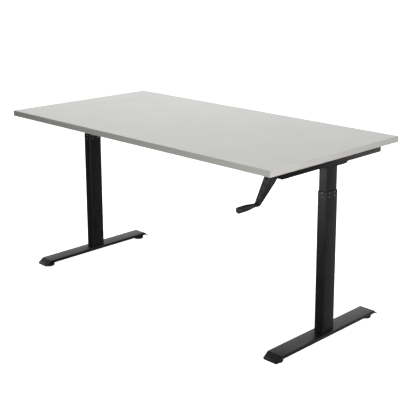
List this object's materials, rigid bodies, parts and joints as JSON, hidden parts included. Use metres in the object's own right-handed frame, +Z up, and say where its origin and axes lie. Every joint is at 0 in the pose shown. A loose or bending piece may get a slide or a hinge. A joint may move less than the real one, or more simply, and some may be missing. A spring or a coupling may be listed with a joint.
{
  "type": "height adjustable standing desk",
  "caption": "Sit-stand desk: flat worktop on telescopic T-legs, raised and lowered by a pull-out hand crank through bevel gears and lifting spindles.",
  "frame": {"origin": "on the floor, under the middle of the whole desk's bounding box (crank grip included)", "axes": "+X along the worktop to the crank side, +Y to the back, +Z up; the user stands on the -Y side"},
  "size_m": [1.6, 0.8482, 0.783],
  "materials": {
    "laminate_grey": "light grey melamine laminate on chipboard, fine matt structure",
    "edge_band_grey": "ABS edge band, light grey, matt",
    "powder_black": "satin black powder coat with fine orange peel",
    "cast_black": "black painted casting",
    "machined_steel": "turned and ground steel, oiled",
    "zinc_steel": "zinc plated fastener",
    "brass": "machined brass",
    "nylon_black": "black nylon, injection moulded",
    "moulded_black": "black glass-filled plastic, fine moulded texture",
    "pad_black": "black plastic pad on a steel stud"
  },
  "bodies": {
    "base": {"foot_right": "powder_black", "foot_left": "powder_black", "foot_plate_right": "machined_steel", "foot_plate_left": "machined_steel", "column_bolt_right_front": "zinc_steel", "column_bolt_right_rear": "zinc_steel", "column_bolt_left_front": "zinc_steel", "column_bolt_left_rear": "zinc_steel", "outer_tube_right": "powder_black", "outer_tube_left": "powder_black", "column_collar_right": "nylon_black", "column_collar_left": "nylon_black", "nut_tube_right": "machined_steel", "nut_tube_left": "machined_steel", "spindle_nut_right": "brass", "spindle_nut_left": "brass"},
    "upper_frame": {"tabletop_board": "laminate_grey", "edge_band_front": "edge_band_grey", "edge_band_rear": "edge_band_grey", "edge_band_right": "edge_band_grey", "edge_band_left": "edge_band_grey", "board_screw_right_front": "zinc_steel", "board_screw_right_rear": "zinc_steel", "board_screw_left_front": "zinc_steel", "board_screw_left_rear": "zinc_steel", "side_bracket_right": "powder_black", "side_bracket_left": "powder_black", "crossbar_front": "powder_black", "crossbar_rear": "powder_black", "gearbox_housing_right": "cast_black", "gearbox_housing_left": "cast_black", "gearbox_lid_right": "cast_black", "gearbox_lid_left": "cast_black", "spindle_bearing_right": "machined_steel", "spindle_bearing_left": "machined_steel", "inner_tube_right": "powder_black", "inner_tube_left": "powder_black", "lower_glide_right": "nylon_black", "lower_glide_left": "nylon_black", "crank_bearing_block": "nylon_black"},
    "spindle_right": {"spindle_right": "machined_steel", "spindle_gear_right": "machined_steel"},
    "spindle_left": {"spindle_left": "machined_steel", "spindle_gear_left": "machined_steel"},
    "cross_shaft": {"cross_shaft": "machined_steel", "cross_pinion_right": "machined_steel", "cross_pinion_left": "machined_steel"},
    "drive_sleeve": {"drive_sleeve": "machined_steel", "drive_pinion": "machined_steel"},
    "crank_bush": {"crank_bush": "nylon_black"},
    "crank": {"crank_arm": "moulded_black", "crank_rod": "machined_steel", "crank_hub_screw": "zinc_steel", "grip_axle": "zinc_steel"},
    "grip": {"grip": "moulded_black", "grip_cap": "moulded_black"},
    "levelling_foot_right_front": {"levelling_foot_right_front": "pad_black"},
    "levelling_foot_right_rear": {"levelling_foot_right_rear": "pad_black"},
    "levelling_foot_left_front": {"levelling_foot_left_front": "pad_black"},
    "levelling_foot_left_rear": {"levelling_foot_left_rear": "pad_black"}
  },
  "joints": [
    {"name": "desk_height", "type": "slide", "parent": "base", "child": "upper_frame", "axis": [0, 0, 1], "range_m": [-0.08, 0.34]},
    {"name": "spindle_right_turn", "type": "hinge", "parent": "upper_frame", "child": "spindle_right", "pos_m": [0.74, 0.0341, 0.735], "axis": [0, 0, 1], "range_deg": [-15301, 3601]},
    {"name": "spindle_left_turn", "type": "hinge", "parent": "upper_frame", "child": "spindle_left", "pos_m": [-0.74, 0.0341, 0.735], "axis": [0, 0, 1], "range_deg": [-15301, 3601]},
    {"name": "cross_shaft_turn", "type": "hinge", "parent": "upper_frame", "child": "cross_shaft", "pos_m": [0, 0.0341, 0.735], "axis": [1, 0, 0], "range_deg": [-7201, 30601]},
    {"name": "drive_turn", "type": "hinge", "parent": "upper_frame", "child": "drive_sleeve", "pos_m": [0.74, -0.0759, 0.735], "axis": [0, 1, 0], "range_deg": [-7201, 30601]},
    {"name": "crank_swing", "type": "hinge", "parent": "upper_frame", "child": "crank_bush", "pos_m": [0.74, -0.2609, 0.735], "axis": [0, 1, 0], "range_deg": [-110, 60]},
    {"name": "crank_pull", "type": "slide", "parent": "crank_bush", "child": "crank", "axis": [0, -1, 0], "range_m": [0, 0.1]},
    {"name": "grip_spin", "type": "hinge", "parent": "crank", "child": "grip", "pos_m": [0.68886, -0.3759, 0.62534], "axis": [0, 1, 0], "continuous": true},
    {"name": "levelling_right_front", "type": "slide", "parent": "base", "child": "levelling_foot_right_front", "axis": [0, 0, -1], "range_m": [0, 0.01]},
    {"name": "levelling_right_rear", "type": "slide", "parent": "base", "child": "levelling_foot_right_rear", "axis": [0, 0, -1], "range_m": [0, 0.01]},
    {"name": "levelling_left_front", "type": "slide", "parent": "base", "child": "levelling_foot_left_front", "axis": [0, 0, -1], "range_m": [0, 0.01]},
    {"name": "levelling_left_rear", "type": "slide", "parent": "base", "child": "levelling_foot_left_rear", "axis": [0, 0, -1], "range_m": [0, 0.01]}
  ],
  "couplings": [
    {"joint": "spindle_right_turn", "follows": "desk_height", "rad_per_m": -785.4},
    {"joint": "spindle_left_turn", "follows": "desk_height", "rad_per_m": -785.4},
    {"joint": "cross_shaft_turn", "follows": "desk_height", "rad_per_m": 1570.8},
    {"joint": "drive_turn", "follows": "desk_height", "rad_per_m": 1570.8}
  ]
}
